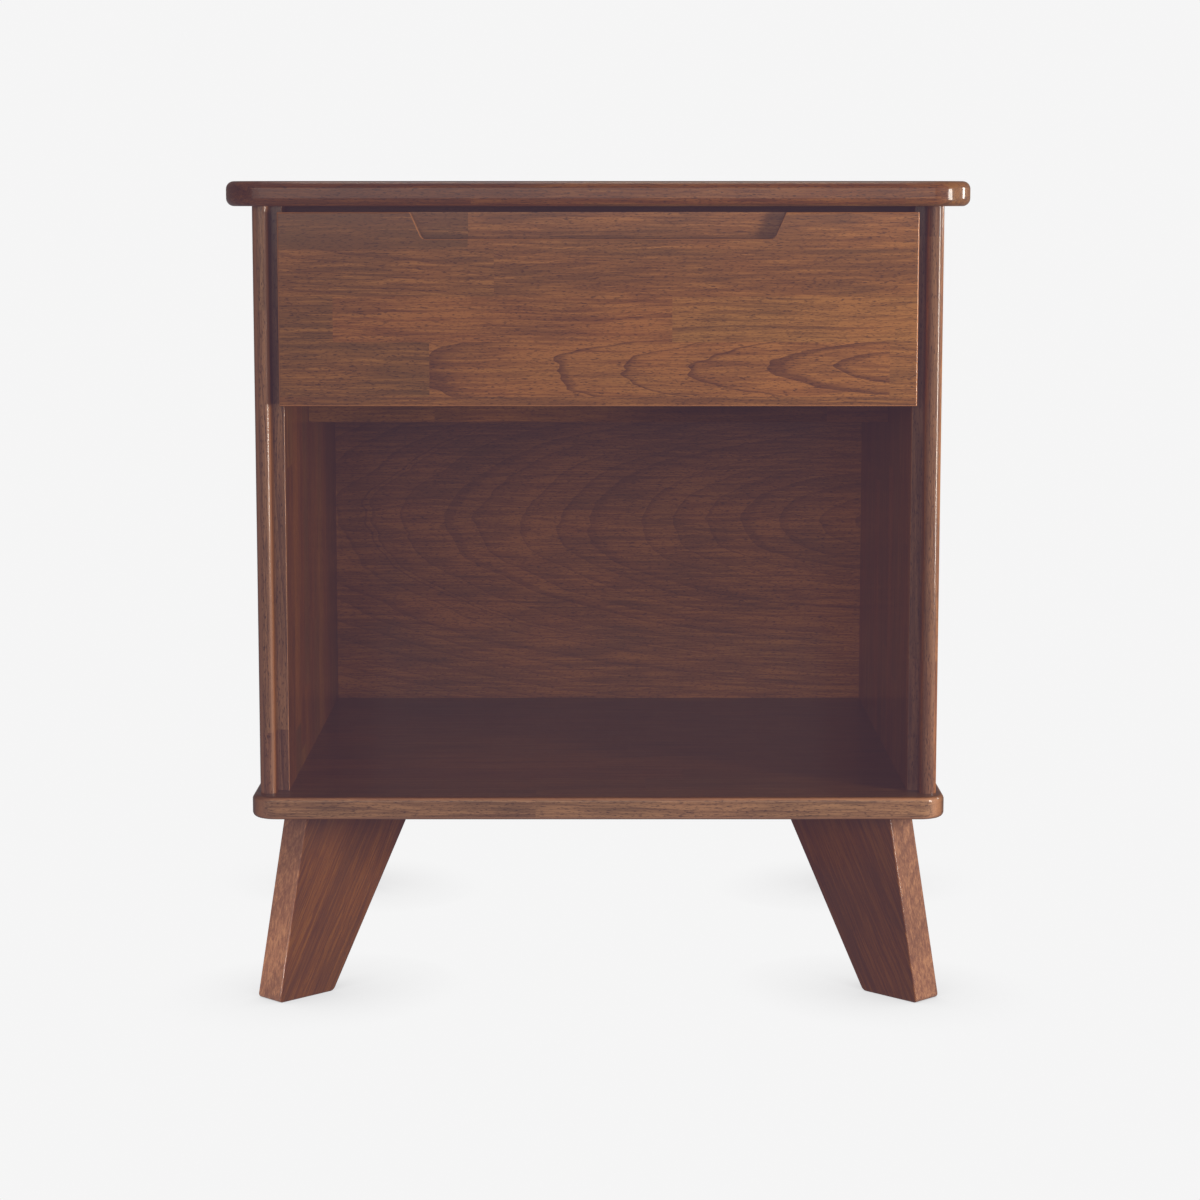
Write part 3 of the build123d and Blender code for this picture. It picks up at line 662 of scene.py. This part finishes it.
# %% [markdown]
# ## Floor and room
# A studio uses a wide sheet of white paper that runs on as floor and background, lit until nothing
# is seen of it. Here the paper glows by itself, so it is the same pale tone everywhere, and an
# ambient occlusion node darkens it a little close to the feet, so that the table stands on it.
# The glow that the camera sees is not what lights the table: to every other ray the paper and the
# room are much dimmer, or the shelf would be lit from below.

# %% White paper and a dim room
paper_white = "#f5f5f5"
paper_radius = 14.0
contact_shadow = 0.10  # how far from a foot the paper is darker, in metres
shaded_opening, contact_tone = 0.3, 0.72  # how closed in the darkest paper is, and its tone
paper_bounce = room_light = 0.25
floor_mesh = bpy.data.meshes.new("floor")
floor = bpy.data.objects.new("floor", floor_mesh)
bpy.context.scene.collection.objects.link(floor)
rim = bmesh.new()
bmesh.ops.create_circle(rim, cap_ends=True, radius=paper_radius, segments=64)
rim.to_mesh(floor_mesh)
rim.free()
paper = bpy.data.materials.new("paper_sweep")
paper.use_nodes = True
tree = paper.node_tree
tree.nodes.clear()
near = add(tree, "ShaderNodeAmbientOcclusion", {"Distance": contact_shadow})
shade = add(tree, "ShaderNodeMapRange",
            {0: near.outputs["AO"], 1: shaded_opening, 2: 1.0, 3: contact_tone, 4: 1.0})
glow = add(tree, "ShaderNodeEmission", {"Color": linear(paper_white), "Strength": shade})
bounce = add(tree, "ShaderNodeEmission", {"Color": linear(paper_white), "Strength": paper_bounce})
ray = add(tree, "ShaderNodeLightPath")
either = add(tree, "ShaderNodeMixShader", {0: ray.outputs["Is Camera Ray"], 1: bounce, 2: glow})
add(tree, "ShaderNodeOutputMaterial", {"Surface": either})
paper.cycles.emission_sampling = "NONE"
floor_mesh.materials.append(paper)

world = bpy.data.worlds.new("studio")
bpy.context.scene.world = world
world.use_nodes = True
tree = world.node_tree
tree.nodes.clear()
seen = add(tree, "ShaderNodeBackground", {"Color": linear(paper_white)})
room = add(tree, "ShaderNodeBackground", {"Color": linear("#d8ccc0"), "Strength": room_light})
ray = add(tree, "ShaderNodeLightPath")
either = add(tree, "ShaderNodeMixShader", {0: ray.outputs["Is Camera Ray"], 1: room, 2: seen})
add(tree, "ShaderNodeOutputWorld", {"Surface": either})
print("paper", 2 * paper_radius, "m across")

# %% [markdown]
# ## Lights
# The key is a narrow softbox to the front right, which draws the line of light down the rounded
# front edges. Three wide, weak boxes in front fill the shadows; they stand high, so that the drawer
# throws its shadow on what is under it and behind its gaps. A small box at the right lights only the
# round corner of the top, one straight above lights the top board, and a low one with a grid on it
# picks out the front left leg.

# %% Softboxes
def softbox(name, place, target, width, height, radiance, colour="#fff2e6"):
    """A rectangular studio light that faces its target. The radiance stays when its size changes."""
    data = bpy.data.lights.new(name, "AREA")
    data.shape = "RECTANGLE"
    data.size, data.size_y = width, height
    data.energy = radiance * math.pi * width * height
    data.color = linear(colour)[:3]
    lamp = bpy.data.objects.new(name, data)
    lamp.location = place
    lamp.rotation_euler = (Vector(target) - Vector(place)).to_track_quat("-Z", "Y").to_euler()
    bpy.context.scene.collection.objects.link(lamp)
    return lamp


neutral = "#fffaf2"
grid_angle = 13  # degrees
softbox("key", (1.12, -0.90, 0.45), (0, -0.2, 0.42), 0.22, 0.5, 46.0, neutral)
softbox("front_fill", (-0.2, -3.3, 1.00), (0, 0, 0.4), 2.0, 0.8, 3.0)
softbox("left_fill", (-1.55, -3.0, 1.05), (0, -0.1, 0.4), 0.9, 0.8, 3.0)
softbox("right_fill", (1.55, -3.0, 1.05), (0, -0.1, 0.4), 0.9, 0.8, 1.5)
softbox("right_rim", (1.30, 0.05, 0.70), (0.25, -0.2, 0.63), 0.14, 0.2, 60.0, neutral)
softbox("overhead", (0, 0.05, 2.2), (0, 0.05, 0.645), 0.8, 0.45, 8.0, neutral)
low = softbox("left_low", (-0.92, -1.02, 0.07), (-0.27, -0.21, 0.045), 0.2, 0.1, 1.2, neutral)
low.data.spread = math.radians(grid_angle)

# %% [markdown]
# ## Colour
# The picture is printed as it is measured, with no film look, apart from one thing: its darkest
# shadows are not black but a dull purple brown. So the curves start at that colour, not at zero.

# %% Lifted shadows
shadow_tone = "#362933"
colours = bpy.context.scene.view_settings
colours.view_transform = "Standard"
colours.use_curve_mapping = True
for curve, darkest in zip(colours.curve_mapping.curves, linear(shadow_tone)[:3]):
    curve.points[0].location = (0, darkest)
    for point in curve.points:
        point.handle_type = "VECTOR"
colours.curve_mapping.update()
print("darkest shadow", shadow_tone)
